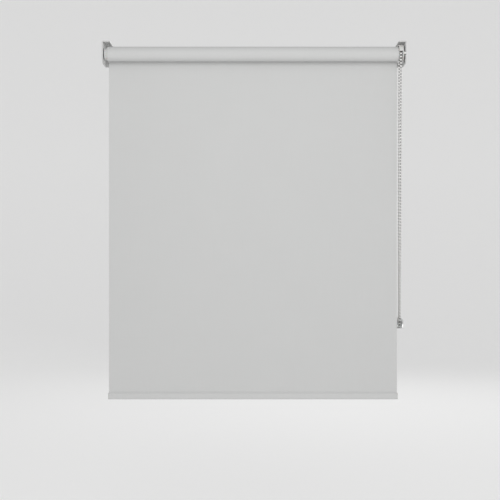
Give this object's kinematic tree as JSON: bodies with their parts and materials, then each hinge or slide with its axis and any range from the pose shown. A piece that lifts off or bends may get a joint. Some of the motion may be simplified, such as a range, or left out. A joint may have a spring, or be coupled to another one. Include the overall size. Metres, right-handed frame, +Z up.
{
  "type": "roller blind",
  "caption": "Window roller blind: fabric wound on a tube between bent end brackets, worked by an endless bead chain that runs round a wall-fixed tensioner.",
  "frame": {"origin": "midway between the brackets, at the height of their top faces and in the plane of their back faces", "axes": "+X along the roller towards the chain, +Y towards the window, +Z up"},
  "size_m": [0.59, 0.0742, 0.6982],
  "materials": {
    "painted_steel": "white powder coat, satin",
    "white_plastic": "moulded, satin",
    "aluminium": "mill, drawn lengthways",
    "blind_fabric": "plain off-white coated weave, matte",
    "spring_steel": "bright wire",
    "nickel_plate": "nickel, polished",
    "clear_plastic": "clear moulded polycarbonate"
  },
  "bodies": {
    "root": {"bracket_drive": "painted_steel", "bracket_idle": "painted_steel", "clutch_hub": "white_plastic", "chain_guard": "white_plastic", "hub_retainer": "white_plastic", "fabric_sheet": "blind_fabric", "bead_chain": "nickel_plate", "tensioner_base": "clear_plastic", "tensioner_cover": "clear_plastic", "tensioner_sleeve": "spring_steel"},
    "roller": {"roller_tube": "aluminium", "fabric_roll": "blind_fabric", "drive_core": "white_plastic", "chain_sprocket": "white_plastic", "wrap_spring_outer": "spring_steel", "wrap_spring_inner": "spring_steel", "idle_plug": "white_plastic", "idle_plug_cap": "white_plastic", "idle_pin_spring": "spring_steel"},
    "hem": {"hem_pocket": "blind_fabric", "hem_bar": "aluminium", "hem_cap_left": "white_plastic", "hem_cap_right": "white_plastic"},
    "chain_idler": {"tensioner_pulley": "white_plastic"},
    "sprung_pin": {"idle_pin": "spring_steel"}
  },
  "joints": [
    {"name": "roller_turn", "type": "hinge", "parent": "root", "child": "roller", "pos_m": [0, -0.036, -0.0235], "axis": [1, 0, 0], "range_deg": [0, 2288.57]},
    {"name": "hem_lift", "type": "slide", "parent": "root", "child": "hem", "axis": [0, 0, 1], "range_m": [0, 0.6312], "deforming": ["fabric_sheet"]},
    {"name": "pulley_turn", "type": "hinge", "parent": "root", "child": "chain_idler", "pos_m": [0.2888, 0.007, -0.54756], "axis": [1, 0, 0], "range_deg": [0, 3400]},
    {"name": "pin_slide", "type": "slide", "parent": "roller", "child": "sprung_pin", "axis": [1, 0, 0], "range_m": [0, 0.006], "stiffness_N_per_m": 300, "springref_m": -0.004, "deforming": ["idle_pin_spring"]}
  ],
  "couplings": [
    {"joint": "hem_lift", "follows": "roller_turn", "m_per_rad": 0.0158},
    {"joint": "pulley_turn", "follows": "roller_turn", "ratio": 1.4854}
  ]
}
